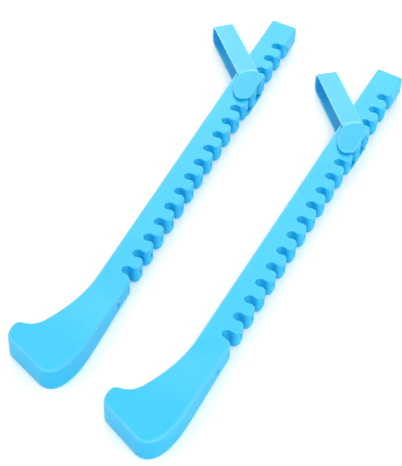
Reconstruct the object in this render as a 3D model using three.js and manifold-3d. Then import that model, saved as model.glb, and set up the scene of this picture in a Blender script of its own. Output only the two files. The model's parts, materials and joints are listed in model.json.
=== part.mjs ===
// A pair of walking guards for ice skate blades, lying on their sides next to each other.
// Each guard is a notched soft plastic bar with a toe cap, and a loop strap that hinges in one notch.
//
// Guard frame: x runs from toe to heel, y from the walking face up to the blade side, z across the width.
// x = 0 is just before the first notch, y = 0 is the walking face and z = 0 the lowest side.
import * as THREE from "three";
import { mergeVertices } from "three/addons/utils/BufferGeometryUtils.js";
import Module from "manifold-3d";

const wasm = await Module();
wasm.setup();

// Bar
const BAR_HEIGHT = 18.1;
const BAR_WIDTH = 12;
const TOE_WIDTH = 16;
const HEEL_X = 249.5;
const HEEL_SLANT = 1.5; // the heel end leans towards the heel at the blade side
const MID_Z = TOE_WIDTH / 2;

// Notches across the walking face
const NOTCH_COUNT = 17;
const PITCH = 14;
const NOTCH_X = 1; // middle of the first notch
const NOTCH_CENTRE_Y = 5.2; // of the round inner end, which is wider than the neck below it
const NOTCH_RADIUS = 3;
const TOOTH_RADIUS = 2.9;

// Toe cap outline
const NOSE_X = -56; // the walking face starts to curve up here
const FRONT_LOW = [-83.3, 12.4];
const FRONT_HIGH = [-72, 37];
const CAP_TOP_Y = 41.6;
const CAP_BACK = [-58.1, 36.9];
const CAP_THROAT = [-49.8, 26.9];
const CAP_ROOT_X = -8;
const FLARE_START = -12; // the width grows from the bar's to the toe's between these
const FLARE_END = -54;

// Blade channel, open on the blade side and at the heel
const CHANNEL_WIDTH = 4.6;
const CHANNEL_FLOOR_Y = 9.4;
const CHANNEL_FLOOR_END = -64;
const CHANNEL_FRONT_X = -74.4; // of the toe pocket, low down
const CHANNEL_FRONT_TOP_X = -62.6; // of the toe pocket, at the cap's top
const DRAIN_RADIUS = 1.2;
const DRAINS_ON_TOE = 2;

// Strap
const STRAP_NOTCH = 14;
const STRAP_TILT = 41; // degrees from the bar to the loop
const STRAP_LENGTH = 64.3; // pivot to the outside of the loop's end
const STRAP_BAND_WIDTH = 13.2;
const STRAP_THICKNESS = 1.7;
const PIVOT_RADIUS = 2.55;
// The tab's corners: x and y from the pivot, and the distance from the corner at which its rounding starts.
const TAB_CORNERS = [
  [-17.4, -5, 2.4],
  [7, -5.1, 1.6],
  [9.4, 0.2, 0.6],
  [7.6, 6.4, 2.4],
  [0.9, 10.2, 0.7],
  [-14.6, 7.3, 1.9],
  [-21.8, 1.8, 3.9],
];

// The pair
const PAIR_OFFSET = [68.4, -19.2]; // of the second guard from the first
const PAIR_TURN = -2.9; // degrees
const ORIGIN = [-14.33, -74.51]; // puts the middle of the pair's box at the origin

const v2 = (x, y) => new THREE.Vector2(x, y);
const rad = THREE.MathUtils.degToRad;

function solid(geometry) {
  const plain = geometry.index ? geometry.toNonIndexed() : geometry.clone();
  plain.deleteAttribute("normal");
  plain.deleteAttribute("uv");
  const merged = mergeVertices(plain, 1e-4);
  return new wasm.Manifold(
    new wasm.Mesh({
      numProp: 3,
      vertProperties: new Float32Array(merged.attributes.position.array),
      triVerts: new Uint32Array(merged.index.array),
    }),
  );
}

function geometryOf(manifold) {
  const mesh = manifold.getMesh();
  const geometry = new THREE.BufferGeometry();
  geometry.setAttribute("position", new THREE.BufferAttribute(mesh.vertProperties, 3));
  geometry.setIndex(new THREE.BufferAttribute(mesh.triVerts, 1));
  geometry.computeVertexNormals();
  return geometry;
}

// A prism over an outline in the x-y plane, from z = low to z = high.
function prism(points, low, high) {
  const options = { depth: high - low, bevelEnabled: false };
  const geometry = new THREE.ExtrudeGeometry(new THREE.Shape(points), options);
  geometry.translate(0, 0, low);
  return solid(geometry);
}

// Points of an arc from angle a to angle b, in degrees.
function arc(x, y, radius, a, b, steps) {
  const points = [];
  for (let i = 0; i <= steps; i++) {
    const angle = rad(a + ((b - a) * i) / steps);
    points.push(v2(x + radius * Math.cos(angle), y + radius * Math.sin(angle)));
  }
  return points;
}

const bezier = (steps, ...p) =>
  new THREE.CubicBezierCurve(...p.map(([x, y]) => v2(x, y))).getPoints(steps);

const notchX = (number) => NOTCH_X + (number - 1) * PITCH;

// One notch: round the tip of the tooth before it, round its inner end and over the next tooth's tip.
// The arcs touch smoothly, so the centres of a tip and of the inner end are the sum of both radii apart.
function notchOutline(x) {
  const apart = NOTCH_RADIUS + TOOTH_RADIUS;
  const rise = NOTCH_CENTRE_Y - TOOTH_RADIUS;
  const tip = Math.sqrt(apart * apart - rise * rise);
  const lean = THREE.MathUtils.radToDeg(Math.asin(rise / apart));
  return [
    ...arc(x - tip, TOOTH_RADIUS, TOOTH_RADIUS, -90, lean, 5),
    ...arc(x, NOTCH_CENTRE_Y, NOTCH_RADIUS, 180 + lean, -lean, 8).slice(1),
    ...arc(x + tip, TOOTH_RADIUS, TOOTH_RADIUS, 180 - lean, 270, 5).slice(1),
  ];
}

// The side outline of a guard, anticlockwise from the start of the nose.
function guardOutline() {
  const points = [v2(NOSE_X, 0)];
  for (let n = 1; n <= NOTCH_COUNT; n++) points.push(...notchOutline(notchX(n)));
  points.push(v2(HEEL_X, 0), v2(HEEL_X + HEEL_SLANT, BAR_HEIGHT), v2(CAP_ROOT_X, BAR_HEIGHT));
  points.push(...bezier(8, [CAP_ROOT_X, BAR_HEIGHT], [-24, BAR_HEIGHT], [-38, 21.5], CAP_THROAT).slice(1));
  points.push(...bezier(6, CAP_THROAT, [-54.6, 29], [-57.5, 31.9], CAP_BACK).slice(1));
  points.push(...bezier(4, CAP_BACK, [-58.4, 40.3], [-60.5, CAP_TOP_Y], [-63.5, CAP_TOP_Y]).slice(1));
  points.push(...bezier(5, [-66.2, CAP_TOP_Y], [-69.3, CAP_TOP_Y], [-70.9, 39.4], FRONT_HIGH));
  points.push(...bezier(8, FRONT_LOW, [-84.6, 8.6], [-78.5, 0], [NOSE_X, 0]).slice(0, -1));
  return points;
}

// The guard's width seen from above its walking face: the bar's width, growing to the toe's.
function widthEnvelope() {
  const steps = 8;
  const side = [];
  for (let i = 0; i <= steps; i++) {
    const t = i / steps;
    const x = FLARE_START + (FLARE_END - FLARE_START) * t;
    const grown = (1 - Math.cos(Math.PI * t)) / 2;
    side.push(v2(x, (BAR_WIDTH + (TOE_WIDTH - BAR_WIDTH) * grown) / 2));
  }
  const half = [v2(HEEL_X + 20, BAR_WIDTH / 2), ...side, v2(FRONT_LOW[0] - 20, TOE_WIDTH / 2)];
  const mirrored = half.map((p) => v2(p.x, -p.y)).reverse();
  const depth = 2 * CAP_TOP_Y;
  const options = { depth, bevelEnabled: false };
  const geometry = new THREE.ExtrudeGeometry(new THREE.Shape([...half, ...mirrored]), options);
  geometry.rotateX(Math.PI / 2);
  geometry.translate(0, depth - CAP_TOP_Y / 2, MID_Z);
  return solid(geometry);
}

function bladeChannel() {
  const over = 2 * CAP_TOP_Y;
  const front = CHANNEL_FRONT_X;
  const floorEnd = [CHANNEL_FLOOR_END, CHANNEL_FLOOR_Y];
  const outline = [
    v2(HEEL_X + 20, CHANNEL_FLOOR_Y),
    v2(HEEL_X + 20, over),
    v2(CHANNEL_FRONT_TOP_X + 8, over),
    v2(CHANNEL_FRONT_TOP_X, CAP_TOP_Y),
    ...bezier(5, [front, 16], [front - 1, 12], [front + 4, CHANNEL_FLOOR_Y], floorEnd),
  ];
  return prism(outline, MID_Z - CHANNEL_WIDTH / 2, MID_Z + CHANNEL_WIDTH / 2);
}

function drainHole(x) {
  const length = CHANNEL_FLOOR_Y + 2;
  const geometry = new THREE.CylinderGeometry(DRAIN_RADIUS, DRAIN_RADIUS, length, 8);
  geometry.translate(x, length / 2 - 1, MID_Z);
  return solid(geometry);
}

function guardBody() {
  let body = prism(guardOutline(), 0, TOE_WIDTH).intersect(widthEnvelope());
  body = body.subtract(bladeChannel());
  for (let n = 1 - DRAINS_ON_TOE; n <= NOTCH_COUNT; n++) {
    body = body.subtract(drainHole(notchX(n) + PITCH / 2));
  }
  return body;
}

// An outline through corners given as [x, y, distance at which the rounding starts].
function roundedOutline(corners) {
  return corners.flatMap(([x, y, reach], i) => {
    const corner = v2(x, y);
    const before = v2(...corners.at(i - 1)).sub(corner).setLength(reach).add(corner);
    const after = v2(...corners[(i + 1) % corners.length]).sub(corner).setLength(reach).add(corner);
    return new THREE.QuadraticBezierCurve(before, corner, after).getPoints(3);
  });
}

// The strap in its own frame: the pivot is the origin, x and y run along and across the bar.
function strapBody() {
  const half = STRAP_BAND_WIDTH / 2;
  const tab = roundedOutline(TAB_CORNERS);
  const band = [v2(0, -half), v2(STRAP_LENGTH, -half), v2(STRAP_LENGTH, half), v2(0, half)];
  const end = [
    v2(STRAP_LENGTH - STRAP_THICKNESS, -half),
    v2(STRAP_LENGTH, -half),
    v2(STRAP_LENGTH, half),
    v2(STRAP_LENGTH - STRAP_THICKNESS, half),
  ];
  const tilted = (points) => points.map((p) => p.clone().rotateAround(v2(0, 0), rad(STRAP_TILT)));
  const pivot = new THREE.CylinderGeometry(PIVOT_RADIUS, PIVOT_RADIUS, TOE_WIDTH - STRAP_THICKNESS, 16);
  pivot.rotateX(Math.PI / 2);
  pivot.translate(0, 0, MID_Z);
  let body = solid(pivot).add(prism(tilted(end), 0, TOE_WIDTH));
  for (const low of [0, TOE_WIDTH - STRAP_THICKNESS]) {
    body = body.add(prism(tab, low, low + STRAP_THICKNESS));
    body = body.add(prism(tilted(band), low, low + STRAP_THICKNESS));
  }
  return body;
}

const guardPlastic = new THREE.MeshStandardMaterial({ color: 0x52c8f5, roughness: 0.42, metalness: 0 });
const strapRubber = new THREE.MeshStandardMaterial({ color: 0x62d4f7, roughness: 0.48, metalness: 0 });

const guardGeometry = geometryOf(guardBody());
const strapGeometry = geometryOf(strapBody());

function guardAssembly(label) {
  const assembly = new THREE.Group();
  const body = new THREE.Mesh(guardGeometry, guardPlastic.clone());
  body.name = `${label}_guard_body`;
  const strap = new THREE.Mesh(strapGeometry, strapRubber.clone());
  strap.name = `${label}_heel_strap`;
  strap.position.set(notchX(STRAP_NOTCH), NOTCH_CENTRE_Y, 0);
  assembly.add(body, strap);
  return assembly;
}

// Toe towards -Y, blade side towards -X.
const pair = new THREE.Group();
const first = guardAssembly("first");
first.rotation.z = Math.PI / 2;
const second = guardAssembly("second");
second.rotation.z = Math.PI / 2 + rad(PAIR_TURN);
second.position.set(PAIR_OFFSET[0], PAIR_OFFSET[1], 0);
const centred = new THREE.Group();
centred.add(first, second);
centred.position.set(ORIGIN[0], ORIGIN[1], 0);
pair.add(centred);

export default pair;
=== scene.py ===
import json
import math

import bmesh
import bpy
from mathutils import Matrix, Vector
from mathutils.kdtree import KDTree


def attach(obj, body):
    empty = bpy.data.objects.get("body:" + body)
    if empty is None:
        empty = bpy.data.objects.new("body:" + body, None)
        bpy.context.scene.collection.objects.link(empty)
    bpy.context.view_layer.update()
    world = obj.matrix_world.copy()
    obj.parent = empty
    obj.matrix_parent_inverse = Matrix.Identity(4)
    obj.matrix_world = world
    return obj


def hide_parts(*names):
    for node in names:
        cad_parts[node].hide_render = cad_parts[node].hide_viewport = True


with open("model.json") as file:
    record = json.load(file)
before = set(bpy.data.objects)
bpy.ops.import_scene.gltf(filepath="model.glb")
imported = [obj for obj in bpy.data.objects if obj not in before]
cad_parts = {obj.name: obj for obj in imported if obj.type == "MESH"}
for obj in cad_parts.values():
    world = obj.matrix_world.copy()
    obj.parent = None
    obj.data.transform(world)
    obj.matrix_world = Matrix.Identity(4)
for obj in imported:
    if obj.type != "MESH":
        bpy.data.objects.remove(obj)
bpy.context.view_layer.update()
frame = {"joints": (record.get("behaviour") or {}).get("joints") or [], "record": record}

MM = 0.001
MERGE_DISTANCE = 1e-4
SHARP_ANGLE = math.radians(38)
# Painted light: the vertex attribute below paints highlights along rounded edges and a lighter tone on the
# band
PAINTED_LIGHT_ATTRIBUTE = "pale"  # vertex attribute: how far the plastic's colour is mixed with PAINTED_LIGHT_COLOUR

# Bar
BAR_HEIGHT = 18.1
BAR_WIDTH = 12
TOE_WIDTH = 16
MID_Z = TOE_WIDTH / 2
HEEL_X = 249.5
HEEL_SLANT = 1.5
HEEL_CORNER = 1.6
HEEL_LIP_STEPS = (0.35, 0.8, 1.4)  # heights above the channel's floor where its lip grows to full size
HEEL_LIP_LEAN = 0.02  # of these points towards the heel

# Notches across the walking face
NOTCH_COUNT = 17
PITCH = 14
NOTCH_X = 1
NOTCH_CENTRE_Y = 5.2
NOTCH_RADIUS = 3
TOOTH_RADIUS = 2.9
FIRST_TOOTH_RADIUS = 5.2

# Toe cap outline
NOSE_X = -56
FRONT_LOW = (-81.6, 16.1)
FRONT_HIGH = (-72, 37)
CAP_TOP = (-63.5, 41.6)
CAP_BACK = (-58.1, 36.9)
CAP_THROAT = (-49.8, 26.9)
CAP_ROOT_X = -8
FLARE_START = -12
FLARE_END = -54
FLARE_MARGIN = 1.5

# Rounding of the long edges between the sides and the wall round them
ROUND_STEPS = 6
TOE_WALKING_EDGE = 2.2
FRONT_EDGE = 1.8
CAP_TOP_EDGE = 1.6
BLADE_EDGE = 1.25
TOOTH_EDGE = 1.3
NOTCH_EDGE = 0.55
HEEL_EDGE = 1.1

# Painted light mixed into the plastic's colour: a painted highlight along rounded edges, and the band's
# flat faces painted a little lighter for the band's lighter shading
GUARD_EDGE_HIGHLIGHT = 0.22
PLATE_EDGE_HIGHLIGHT = 0.4
BAND_PAINTED_LIGHT = 0.12
BAND_EDGE_HIGHLIGHT = 0.55
PAINTED_LIGHT_COLOUR = (0.5, 0.92, 0.98)

# Plastic colours, each clouded with a slightly deeper one
GUARD_BLUE = (0.022, 0.505, 0.80)
GUARD_DEEP_BLUE = (0.018, 0.485, 0.79)
STRAP_BLUE = (0.018, 0.475, 0.78)
STRAP_DEEP_BLUE = (0.014, 0.455, 0.77)

# Blade channel and drain holes
CHANNEL_WIDTH = 4.6
CHANNEL_FLOOR_Y = 9.4
CHANNEL_FLOOR_END = -64
CHANNEL_FRONT = (-74.4, 16)
LIP_RADIUS = 0.7
LIP_GROWTH = 1.8  # distance over which the lip's rounding grows at both its ends
LIP_STEPS = 3
DRAIN_RADIUS = 1.2
DRAIN_RIM = 0.3  # width and depth of the wider mouth
DRAIN_OVERSHOOT = 1  # of the cutter past the plastic
DRAIN_MOUTH_Y = -0.02  # just below the walking face
DRAINS_ON_TOE = 2

# Strap, measured from its pivot
STRAP_NOTCH = 14
STRAP_TILT = math.radians(41)
BAND_WIDTH = 13.2
BAND_THICKNESS = 1.4
BAND_CORNER = 0.5
BAND_FLAT_DEPTH = 0.02  # points no deeper than this below the flat sides count as flat
BAND_START = 2
BAND_STRAIGHT_END = 7.5
BAND_END = 63.4
BAND_BEND = 4.4
BAND_SET_BACK = 0.25  # of the band's outside from the tab's
BAND_NARROWING = 0.25  # of half the loop's gap, towards its end
TAB_THICKNESS = 1.7
TAB_EDGE = 0.65
TAB_CORNERS = [  # x, y, radius
    (-17.4, -5.0, 4.4),
    (7.0, -5.1, 2.4),
    (9.4, 0.2, 1.4),
    (7.6, 6.4, 6),
    (0.9, 10.2, 1.8),
    (-14.6, 7.3, 8),
    (-21.8, 1.8, 4.2),
]
PIN_RADIUS = 2.55
PIN_INSET = 0.8
PIN_EDGE = 0.2


def notch_x(number):
    return NOTCH_X + (number - 1) * PITCH


def half_width(x):
    """Half the guard's width at x: the bar's, growing to the toe cap's."""
    t = min(max((x - FLARE_START) / (FLARE_END - FLARE_START), 0), 1)
    grown = (1 - math.cos(math.pi * t)) / 2
    return (BAR_WIDTH + (TOE_WIDTH - BAR_WIDTH) * grown) / 2


# ---- Outlines ------------------------------------------------------------------------------------

def line(start, end, steps=1):
    """Points from start to end, with the last left out."""
    a, b = Vector(start), Vector(end)
    return [a.lerp(b, i / steps) for i in range(steps)]


def arc(centre, radius, start, end, steps):
    """Points of an arc between two angles in degrees, both ends included."""
    points = []
    for i in range(steps + 1):
        angle = math.radians(start + (end - start) * i / steps)
        points.append(Vector((centre[0] + radius * math.cos(angle), centre[1] + radius * math.sin(angle))))
    return points


def bezier(p0, p1, p2, p3, steps):
    """Points of a cubic curve, with the first left out."""
    a, b, c, d = Vector(p0), Vector(p1), Vector(p2), Vector(p3)
    points = []
    for i in range(1, steps + 1):
        t = i / steps
        u = 1 - t
        points.append(a * u**3 + b * (3 * u * u * t) + c * (3 * u * t * t) + d * t**3)
    return points


def rounded_polygon(corners, step_degrees=11):
    """An outline through corners given as (x, y, radius), each turned into an arc."""
    points = []
    count = len(corners)
    for i, (x, y, radius) in enumerate(corners):
        here = Vector((x, y))
        back = (Vector(corners[i - 1][:2]) - here).normalized()
        ahead = (Vector(corners[(i + 1) % count][:2]) - here).normalized()
        half = back.angle(ahead) / 2
        reach = radius / math.tan(half)
        centre = here + (back + ahead).normalized() * (radius / math.sin(half))
        start = here + back * reach - centre
        turn = start.angle_signed(here + ahead * reach - centre)
        steps = max(2, round(abs(math.degrees(turn)) / step_degrees))
        for k in range(steps + 1):
            points.append(centre + Matrix.Rotation(-turn * k / steps, 2) @ start)
    return points


def inward_normals(points):
    """The inward normals of an anticlockwise outline, lengthened at corners to keep offsets even."""
    normals = []
    count = len(points)
    for i, here in enumerate(points):
        before = (here - points[i - 1]).normalized()
        after = (points[(i + 1) % count] - here).normalized()
        middle = (before + after).normalized()
        lengthen = 1 / max(0.5, middle.dot(after))
        normals.append(Vector((-middle.y, middle.x)) * lengthen)
    return normals


class Outline:
    """An anticlockwise outline whose points carry the rounding of their edge."""

    def __init__(self):
        self.points = []
        self.rounding = []

    def add(self, points, start, end=None):
        """Adds points whose edge rounding runs from start to end."""
        end = start if end is None else end
        last = max(1, len(points) - 1)
        for i, point in enumerate(points):
            if self.points and (point - self.points[-1]).length < MERGE_DISTANCE:
                continue
            self.points.append(point)
            t = i / last
            self.rounding.append(start + (end - start) * t * t * (3 - 2 * t))


def cap_curves():
    """The blade side of the toe section, from the bar's end up to the cap's back."""
    root = (CAP_ROOT_X, BAR_HEIGHT)
    rise = bezier(root, (-24, BAR_HEIGHT), (-38, 21.5), CAP_THROAT, 26)
    throat = bezier(CAP_THROAT, (-54.6, 29), (-57.5, 31.9), CAP_BACK, 14)
    return rise + throat


def tooth_tip(radius):
    """The x distance from a notch's middle to a tooth tip's, and the slope between them in degrees."""
    apart = NOTCH_RADIUS + radius
    rise = NOTCH_CENTRE_Y - radius
    return math.sqrt(apart * apart - rise * rise), math.degrees(math.asin(rise / apart))


def guard_outline():
    """The guard's side outline, anticlockwise from the toe end of the walking face.

    Also gives the number of stations across the flare, and the first and last index of the channel's lip.
    """
    outline = Outline()
    cap = cap_curves()
    stations = [p.x for p in cap if FLARE_END - FLARE_MARGIN < p.x < FLARE_START + FLARE_MARGIN]
    outline.add([Vector((x, 0)) for x in reversed(stations)], TOE_WALKING_EDGE)
    tip, slope = tooth_tip(TOOTH_RADIUS)
    for n in range(1, NOTCH_COUNT + 1):
        x = notch_x(n)
        near = FIRST_TOOTH_RADIUS if n == 1 else TOOTH_RADIUS
        edge = TOE_WALKING_EDGE if n == 1 else TOOTH_EDGE
        near_tip, near_slope = tooth_tip(near)
        outline.add(arc((x - near_tip, near), near, -90, near_slope, 9), edge, NOTCH_EDGE)
        outline.add(arc((x, NOTCH_CENTRE_Y), NOTCH_RADIUS, 180 + near_slope, -slope, 16), NOTCH_EDGE)
        outline.add(arc((x + tip, TOOTH_RADIUS), TOOTH_RADIUS, 180 - slope, 270, 9), NOTCH_EDGE, TOOTH_EDGE)
    outline.add(arc((HEEL_X - HEEL_CORNER, HEEL_CORNER), HEEL_CORNER, -90, 0, 6), TOOTH_EDGE, HEEL_EDGE)
    floor_x = HEEL_X + HEEL_SLANT * CHANNEL_FLOOR_Y / BAR_HEIGHT
    outline.add([Vector((floor_x, CHANNEL_FLOOR_Y))], HEEL_EDGE)
    lip_start = len(outline.points) - 1
    top_corner = (HEEL_X + HEEL_SLANT - HEEL_CORNER, BAR_HEIGHT - HEEL_CORNER)
    lip_growth = [Vector((floor_x + HEEL_LIP_LEAN, CHANNEL_FLOOR_Y + rise)) for rise in HEEL_LIP_STEPS]
    outline.add(lip_growth, HEEL_EDGE)
    outline.add(arc(top_corner, HEEL_CORNER, 0, 90, 6), HEEL_EDGE, BLADE_EDGE)
    outline.add(line((top_corner[0], BAR_HEIGHT), (CAP_ROOT_X, BAR_HEIGHT), 18)[1:], BLADE_EDGE)
    outline.add([Vector((CAP_ROOT_X, BAR_HEIGHT))] + cap, BLADE_EDGE)
    cap_back_curve = bezier(CAP_BACK, (-58.4, 40.3), (-60.5, CAP_TOP[1]), CAP_TOP, 10)
    outline.add(cap_back_curve, BLADE_EDGE, CAP_TOP_EDGE)
    lip_end = len(outline.points) - 1
    cap_front_curve = bezier(CAP_TOP, (-69.3, CAP_TOP[1]), (-70.9, 39.4), FRONT_HIGH, 12)
    outline.add(cap_front_curve, CAP_TOP_EDGE, FRONT_EDGE)
    outline.add(line(FRONT_HIGH, FRONT_LOW, 4), FRONT_EDGE)
    nose = bezier(FRONT_LOW, (-85.4, 7.9), (-78.5, 0.2), (NOSE_X, 0), 30)
    outline.add([Vector(FRONT_LOW)] + nose, FRONT_EDGE, TOE_WALKING_EDGE)
    return outline, len(stations), lip_start, lip_end


# ---- Mesh helpers --------------------------------------------------------------------------------

def face(bm, *corners):
    """A face over the corners with repeats dropped, or nothing where it has no area."""
    kept = []
    for vert in corners:
        if vert not in kept:
            kept.append(vert)
    if len(kept) > 2:
        bm.faces.new(kept)


def ladder(bm, left, right):
    """Faces between two rows of vertices."""
    for k in range(len(left) - 1):
        face(bm, left[k], right[k], right[k + 1], left[k + 1])


def quarter(steps, peak_highlight):
    """(inset, depth, pale) round an edge of radius 1, from the flat side to the wall, with the painted
    highlight palest half way.
    """
    for k in range(steps + 1):
        angle = math.pi / 2 * k / steps
        yield 1 - math.sin(angle), 1 - math.cos(angle), peak_highlight * math.sin(2 * angle)


def add_vertex(bm, x, y, z, pale=0.0):
    """A vertex that carries how much painted light is mixed into the plastic's colour there."""
    vert = bm.verts.new((x, y, z))
    vert[bm.verts.layers.float[PAINTED_LIGHT_ATTRIBUTE]] = pale
    return vert


def solid_plate(bm, points, low, high, rounding):
    """A closed plate over an outline, with all its edges rounded and given a painted highlight."""
    normals = inward_normals(points)
    edge = list(quarter(4, PLATE_EDGE_HIGHLIGHT))
    levels = [(inset, low + depth * rounding, pale) for inset, depth, pale in edge]
    levels += [(inset, high - depth * rounding, pale) for inset, depth, pale in reversed(edge)]
    rings = []
    for inset, z, pale in levels:
        row = [p + n * inset * rounding for p, n in zip(points, normals)]
        rings.append([add_vertex(bm, q.x, q.y, z, pale) for q in row])
    for lower, upper in zip(rings, rings[1:]):
        ladder(bm, lower + lower[:1], upper + upper[:1])
    bm.faces.new(rings[0])
    bm.faces.new(rings[-1])


def mesh_object(name, build):
    """A new object whose mesh is made by build(bm)."""
    bm = bmesh.new()
    bm.verts.layers.float.new(PAINTED_LIGHT_ATTRIBUTE)
    build(bm)
    bmesh.ops.remove_doubles(bm, verts=bm.verts, dist=MERGE_DISTANCE)
    bmesh.ops.recalc_face_normals(bm, faces=bm.faces)
    mesh = bpy.data.meshes.new(name)
    bm.to_mesh(mesh)
    bm.free()
    obj = bpy.data.objects.new(name, mesh)
    bpy.context.scene.collection.objects.link(obj)
    return obj


def combine(base, tools, operation):
    """Base's mesh with the tools cut out of it or joined to it; the tools are removed.

    The boolean mixes up the vertices' painted light, so each vertex takes it again from the nearest one
    before.
    """
    before = []
    for obj in [base] + tools:
        pale = obj.data.attributes[PAINTED_LIGHT_ATTRIBUTE].data
        before += [(vert.co.copy(), pale[vert.index].value) for vert in obj.data.vertices]
    tree = KDTree(len(before))
    for i, (co, _) in enumerate(before):
        tree.insert(co, i)
    tree.balance()
    for tool in tools:
        modifier = base.modifiers.new("combine", "BOOLEAN")
        modifier.operation = operation
        modifier.solver = "EXACT"
        modifier.object = tool
    bpy.context.view_layer.update()
    made = bpy.data.meshes.new_from_object(base.evaluated_get(bpy.context.evaluated_depsgraph_get()))
    base.modifiers.clear()
    base.data = made
    pale = made.attributes[PAINTED_LIGHT_ATTRIBUTE].data
    for vert in made.vertices:
        pale[vert.index].value = before[tree.find(vert.co)[1]][1]
    for tool in tools:
        bpy.data.objects.remove(tool)


# ---- Guard body ----------------------------------------------------------------------------------

def channel_floor_path(start, end):
    """The middle line of the channel's floor, from the heel to the top of the toe pocket's front."""
    front_x, front_y = CHANNEL_FRONT
    points = line(start, (CHANNEL_FLOOR_END, CHANNEL_FLOOR_Y), 20)
    points.append(Vector((CHANNEL_FLOOR_END, CHANNEL_FLOOR_Y)))
    points += bezier(points[-1], (front_x + 4, CHANNEL_FLOOR_Y), (front_x - 1, 12), CHANNEL_FRONT, 10)
    points += line(CHANNEL_FRONT, end, 4)[1:]
    return points[1:]


def guard_half(bm):
    """The guard from its low side to its middle plane, open at that plane."""
    outline, station_count, lip_start, lip_end = guard_outline()
    points = outline.points
    normals = inward_normals(points)
    wall_z = MID_Z - CHANNEL_WIDTH / 2
    columns = []
    for i, (p, n, rounding) in enumerate(zip(points, normals, outline.rounding)):
        rounded = []
        # Each rounded edge gets a painted highlight, palest half way round.
        for inset, depth, pale in quarter(ROUND_STEPS, GUARD_EDGE_HIGHLIGHT):
            q = p + n * inset * rounding
            rounded.append(add_vertex(bm, q.x, q.y, MID_Z - half_width(q.x) + depth * rounding, pale))
        on_lip = lip_start < i < lip_end
        if on_lip:
            from_end = min((p - points[lip_start]).length, (p - points[lip_end]).length)
            radius = LIP_RADIUS * min(1, from_end / LIP_GROWTH)
            lip = []
            # The channel's lip gets the same painted highlight.
            for inset, depth, pale in quarter(LIP_STEPS, GUARD_EDGE_HIGHLIGHT):
                q = p + n * depth * radius
                lip.append(add_vertex(bm, q.x, q.y, wall_z - inset * radius, pale))
            columns.append((rounded + lip, None))
        else:
            wall = add_vertex(bm, p.x, p.y, wall_z)
            columns.append((rounded + [wall] * (LIP_STEPS + 1), add_vertex(bm, p.x, p.y, MID_Z)))

    count = len(columns)
    for i in range(count):
        (left, left_mid), (right, right_mid) = columns[i], columns[(i + 1) % count]
        ladder(bm, left, right)
        if left_mid and right_mid:
            face(bm, left[-1], right[-1], right_mid, left_mid)

    # The low side: a ladder across the flare, with the bar and the toe cap as flat faces beside it.
    side = [column[0][0] for column in columns]
    walking = list(range(station_count))
    flare_x = points[walking[-1]].x
    first_station = next(i for i in range(lip_start, count) if abs(points[i].x - flare_x) < 1e-6)
    blade = list(range(first_station, first_station + station_count))
    for k in range(station_count - 1):
        w, b = walking[-1 - k], blade[k]
        face(bm, side[w - 1], side[w], side[b], side[b + 1])
    face(bm, *side[walking[-1]:blade[0] + 1])
    face(bm, *side[blade[-1]:], side[0])

    # The channel's side wall, and its floor up to the middle plane.
    start, end = points[lip_start], points[lip_end]
    path = channel_floor_path(start, end)
    floor_wall = [add_vertex(bm, p.x, p.y, wall_z) for p in path]
    floor_mid = [add_vertex(bm, p.x, p.y, MID_Z) for p in path]
    floor_wall = [columns[lip_start][0][-1]] + floor_wall + [columns[lip_end][0][-1]]
    floor_mid = [columns[lip_start][1]] + floor_mid + [columns[lip_end][1]]
    rim = [column[0][-1] for column in columns[lip_start:lip_end + 1]]
    face(bm, *rim, *reversed(floor_wall))
    ladder(bm, floor_wall, floor_mid)


def guard_shell(bm):
    """Both halves of the guard, joined at the middle plane."""
    guard_half(bm)
    bmesh.ops.remove_doubles(bm, verts=bm.verts, dist=MERGE_DISTANCE)
    half = bm.verts[:] + bm.edges[:] + bm.faces[:]
    copied = bmesh.ops.duplicate(bm, geom=half)["geom"]
    for vert in copied:
        if isinstance(vert, bmesh.types.BMVert):
            vert.co.z = TOE_WIDTH - vert.co.z


def drain_hole(x):
    """A cutter for one drain hole, wider at both its mouths."""
    rings = [(-DRAIN_OVERSHOOT, DRAIN_RIM), (DRAIN_MOUTH_Y, DRAIN_RIM), (DRAIN_RIM, 0)]
    rings += [(CHANNEL_FLOOR_Y - y, grown) for y, grown in reversed(rings)]

    def build(bm):
        rows = []
        for y, grown in rings:
            ring = arc((x, MID_Z), DRAIN_RADIUS + grown, 0, 360, 20)[:-1]
            rows.append([add_vertex(bm, p.x, y, p.y) for p in ring])
        for lower, upper in zip(rows, rows[1:]):
            ladder(bm, lower + lower[:1], upper + upper[:1])
        bm.faces.new(rows[0])
        bm.faces.new(rows[-1])

    return mesh_object("drain", build)


def guard_body():
    body = mesh_object("guard", guard_shell)
    teeth = range(1 - DRAINS_ON_TOE, NOTCH_COUNT + 1)
    combine(body, [drain_hole(notch_x(n) + PITCH / 2) for n in teeth], "DIFFERENCE")
    return body


# ---- Strap ---------------------------------------------------------------------------------------

def band_path():
    """The band's middle line as (distance from the pivot, height), from the upper tab to the lower."""
    half_gap = TOE_WIDTH / 2 - BAND_SET_BACK - BAND_THICKNESS / 2
    narrow = half_gap - BAND_NARROWING
    end = BAND_END - BAND_THICKNESS / 2
    straight = Vector((BAND_STRAIGHT_END, half_gap))
    upper = [Vector((BAND_START, half_gap)), straight]
    upper += bezier(straight, (22, half_gap - 0.1), (44, narrow + 0.1), (end - BAND_BEND, narrow), 12)
    upper += arc((end - BAND_BEND, narrow - BAND_BEND), BAND_BEND, 90, 0, 8)[1:]
    lower = [Vector((p.x, -p.y)) for p in reversed(upper)]
    return upper + [Vector((end, 0))] + lower


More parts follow.
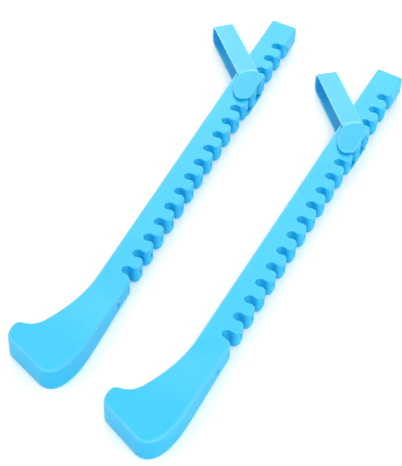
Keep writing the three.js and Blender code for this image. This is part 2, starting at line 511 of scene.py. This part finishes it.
def strap_band(bm):
    """A flat band with rounded edges, swept round the loop."""
    path = band_path()
    half_band, half_thickness = BAND_WIDTH / 2, BAND_THICKNESS / 2
    section = rounded_polygon(
        [
            (-half_band, -half_thickness, BAND_CORNER),
            (half_band, -half_thickness, BAND_CORNER),
            (half_band, half_thickness, BAND_CORNER),
            (-half_band, half_thickness, BAND_CORNER),
        ],
        18,
    )
    along = Vector((math.cos(STRAP_TILT), math.sin(STRAP_TILT)))
    across = Vector((-along.y, along.x))
    rings = []
    last = len(path) - 1
    for i, p in enumerate(path):
        tangent = (path[min(i + 1, last)] - path[max(i - 1, 0)]).normalized()
        normal = Vector((-tangent.y, tangent.x))
        ring = []
        for s in section:
            q = p + normal * s.y
            flat = along * q.x + across * s.x
            # Painted light: the band's flat faces are painted a little lighter, and its rounded edges get a
            # stronger painted highlight.
            on_flat = abs(s.y) > half_thickness - BAND_FLAT_DEPTH
            pale = BAND_PAINTED_LIGHT if on_flat else BAND_EDGE_HIGHLIGHT
            ring.append(add_vertex(bm, flat.x, flat.y, MID_Z + q.y, pale))
        rings.append(ring)
    for one, two in zip(rings, rings[1:]):
        ladder(bm, one + one[:1], two + two[:1])
    bm.faces.new(rings[0])
    bm.faces.new(rings[-1])


def strap_pin(bm):
    ring = arc((0, 0), PIN_RADIUS, 0, 360, 32)[:-1]
    solid_plate(bm, ring, PIN_INSET, TOE_WIDTH - PIN_INSET, PIN_EDGE)


def strap_body():
    band = mesh_object("strap", strap_band)
    outline = rounded_polygon(TAB_CORNERS)
    tools = [mesh_object("pin", strap_pin)]
    for low in (0, TOE_WIDTH - TAB_THICKNESS):
        high = low + TAB_THICKNESS
        tools.append(mesh_object("tab", lambda bm: solid_plate(bm, outline, low, high, TAB_EDGE)))
    combine(band, tools, "UNION")
    return band


# ---- Placing -------------------------------------------------------------------------------------

def guard_frame(label):
    """The matrix from a guard's own frame in millimetres to the row frame in metres."""
    hinge = next(j for j in frame["joints"] if j["name"] == f"{label}_strap_hinge")
    mount = next(m for m in frame["record"]["mounts"] if m["name"] == f"{label}_walking_face")
    down = Vector(mount["axis"])
    along = Vector((-down.y, down.x, 0))
    turned = Matrix((along, -down, (0, 0, 1))).transposed().to_4x4()
    pivot = Vector((notch_x(STRAP_NOTCH) * MM, NOTCH_CENTRE_Y * MM, MID_Z * MM))
    origin = Vector(hinge["pos_m"]) - turned @ pivot
    return Matrix.Translation(origin) @ turned @ Matrix.Scale(MM, 4)


def place(model, name, matrix, body, node, material):
    """A smoothed copy of a model, set in place, that rides on its body and stands for its CAD node."""
    mesh = model.data.copy()
    mesh.name = name
    mesh.transform(matrix)
    mesh.shade_smooth()
    mesh.set_sharp_from_angle(angle=SHARP_ANGLE)
    mesh.materials.clear()
    mesh.materials.append(material)
    piece = bpy.data.objects.new(name, mesh)
    bpy.context.scene.collection.objects.link(piece)
    normals = piece.modifiers.new("normals", "WEIGHTED_NORMAL")
    normals.keep_sharp = True
    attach(piece, body)
    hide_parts(node)


# ---- Materials -----------------------------------------------------------------------------------

def soft_plastic(name, pale, deep, roughness, grain):
    """Satin moulded PVC: a cloudy colour with painted light mixed in, light scattered under the surface,
    fine grain and soft waves.
    """
    material = bpy.data.materials.new(name)
    material.use_nodes = True
    nodes, links = material.node_tree.nodes, material.node_tree.links
    shader = nodes["Principled BSDF"]
    shader.inputs["IOR"].default_value = 1.5
    shader.inputs["Subsurface Weight"].default_value = 0.6
    shader.inputs["Subsurface Radius"].default_value = (0.05, 0.5, 1.0)
    shader.inputs["Subsurface Scale"].default_value = 0.0022
    coordinates = nodes.new("ShaderNodeTexCoord")

    def noise(scale, detail, rough=0.5):
        node = nodes.new("ShaderNodeTexNoise")
        node.inputs["Scale"].default_value = scale
        node.inputs["Detail"].default_value = detail
        node.inputs["Roughness"].default_value = rough
        links.new(coordinates.outputs["Object"], node.inputs["Vector"])
        return node.outputs["Fac"]

    cloud = nodes.new("ShaderNodeValToRGB")
    cloud.color_ramp.elements[0].position = 0.3
    cloud.color_ramp.elements[0].color = (*deep, 1)
    cloud.color_ramp.elements[1].position = 0.7
    cloud.color_ramp.elements[1].color = (*pale, 1)
    links.new(noise(28, 3), cloud.inputs["Fac"])
    # Painted light: a pale colour mixed in by the vertex attribute, as highlights on rounded edges and a
    # lighter tone on the band.
    painted_light = nodes.new("ShaderNodeAttribute")
    painted_light.attribute_name = PAINTED_LIGHT_ATTRIBUTE
    colour = nodes.new("ShaderNodeMix")
    colour.data_type = "RGBA"
    colour.inputs["B"].default_value = (*PAINTED_LIGHT_COLOUR, 1)
    links.new(painted_light.outputs["Fac"], colour.inputs["Factor"])
    links.new(cloud.outputs["Color"], colour.inputs["A"])
    links.new(colour.outputs["Result"], shader.inputs["Base Color"])

    shine = nodes.new("ShaderNodeMapRange")
    shine.inputs["To Min"].default_value = roughness - 0.07
    shine.inputs["To Max"].default_value = roughness + 0.07
    links.new(noise(90, 4, 0.6), shine.inputs["Value"])
    links.new(shine.outputs["Result"], shader.inputs["Roughness"])

    waves = nodes.new("ShaderNodeBump")
    waves.inputs["Strength"].default_value = 0.25
    waves.inputs["Distance"].default_value = 0.0012
    links.new(noise(55, 2), waves.inputs["Height"])
    fine = nodes.new("ShaderNodeBump")
    fine.inputs["Strength"].default_value = grain
    fine.inputs["Distance"].default_value = 0.0002
    links.new(noise(1600, 3, 0.6), fine.inputs["Height"])
    links.new(waves.outputs["Normal"], fine.inputs["Normal"])
    links.new(fine.outputs["Normal"], shader.inputs["Normal"])
    return material


def paper_floor():
    material = bpy.data.materials.new("pale_floor")
    material.use_nodes = True
    shader = material.node_tree.nodes["Principled BSDF"]
    shader.inputs["Base Color"].default_value = (0.9, 0.9, 0.9, 1)
    shader.inputs["Emission Color"].default_value = (1, 1, 1, 1)
    shader.inputs["Emission Strength"].default_value = 0.12
    shader.inputs["Roughness"].default_value = 0.9
    shader.inputs["Specular IOR Level"].default_value = 0.1
    return material


# ---- Studio --------------------------------------------------------------------------------------

CAMERA_AZIMUTH = math.radians(22.09)
CAMERA_ELEVATION = math.radians(45.36)
CAMERA_ROLL = math.radians(2.55)
CAMERA_DISTANCE = 0.777
CAMERA_TARGET = Vector((0.00375, -0.02442, 0.008))
CAMERA_LENS = 121
SENSOR_WIDTH = 36

WORLD_STRENGTH = 0.5
FLOOR_SIZE = 3
LIGHTS = [  # name, position in metres, size in metres, power in watts
    ("key", (0.75, -0.5, 0.95), 0.8, 6.5),
    ("left", (-0.7, -0.9, 0.8), 0.8, 3.5),
    ("back", (-0.45, 1.1, 0.85), 1.2, 11),
]


def add_camera():
    a, e = CAMERA_AZIMUTH, CAMERA_ELEVATION
    back = Vector((math.sin(a) * math.cos(e), -math.cos(a) * math.cos(e), math.sin(e)))
    right = Vector((0, 0, 1)).cross(back).normalized()
    up = back.cross(right)
    turned = Matrix.Rotation(CAMERA_ROLL, 3, back)
    data = bpy.data.cameras.new("camera")
    data.sensor_fit = "HORIZONTAL"
    data.sensor_width = SENSOR_WIDTH
    data.lens = CAMERA_LENS
    data.clip_start = 0.01
    camera = bpy.data.objects.new("camera", data)
    axes = Matrix((turned @ right, turned @ up, back)).transposed().to_4x4()
    camera.matrix_world = Matrix.Translation(CAMERA_TARGET + back * CAMERA_DISTANCE) @ axes
    bpy.context.scene.collection.objects.link(camera)
    bpy.context.scene.camera = camera


def area_light(name, position, size, power):
    """A soft square light that looks at the pair's middle."""
    data = bpy.data.lights.new(name, "AREA")
    data.size = size
    data.energy = power
    light = bpy.data.objects.new(name, data)
    turned = Vector(position).to_track_quat("Z", "Y").to_matrix().to_4x4()
    light.matrix_world = Matrix.Translation(position) @ turned
    bpy.context.scene.collection.objects.link(light)


def add_studio():
    bpy.context.scene.view_settings.view_transform = "Standard"
    bpy.context.scene.view_settings.look = "Medium High Contrast"
    world = bpy.data.worlds.new("studio")
    bpy.context.scene.world = world
    world.use_nodes = True
    background = world.node_tree.nodes["Background"]
    background.inputs["Color"].default_value = (1, 1, 1, 1)
    background.inputs["Strength"].default_value = WORLD_STRENGTH
    for light in LIGHTS:
        area_light(*light)

    def build(bm):
        bmesh.ops.create_grid(bm, x_segments=1, y_segments=1, size=FLOOR_SIZE)

    floor = mesh_object("floor", build)
    floor.data.materials.append(paper_floor())


# ---- The scene -----------------------------------------------------------------------------------

add_camera()
add_studio()

guard_material = soft_plastic("guard_plastic", GUARD_BLUE, GUARD_DEEP_BLUE, roughness=0.42, grain=0.12)
strap_material = soft_plastic("strap_rubber", STRAP_BLUE, STRAP_DEEP_BLUE, roughness=0.45, grain=0.2)

guard_model = guard_body()
strap_model = strap_body()
pivot_offset = Matrix.Translation((notch_x(STRAP_NOTCH), NOTCH_CENTRE_Y, 0))
for label in ("first", "second"):
    guard = f"{label}_guard"
    strap = f"{label}_strap"
    guard_matrix = guard_frame(label)
    strap_matrix = guard_matrix @ pivot_offset
    place(guard_model, guard, guard_matrix, guard, f"{label}_guard_body", guard_material)
    place(strap_model, strap, strap_matrix, strap, f"{label}_heel_strap", strap_material)
bpy.data.objects.remove(guard_model)
bpy.data.objects.remove(strap_model)
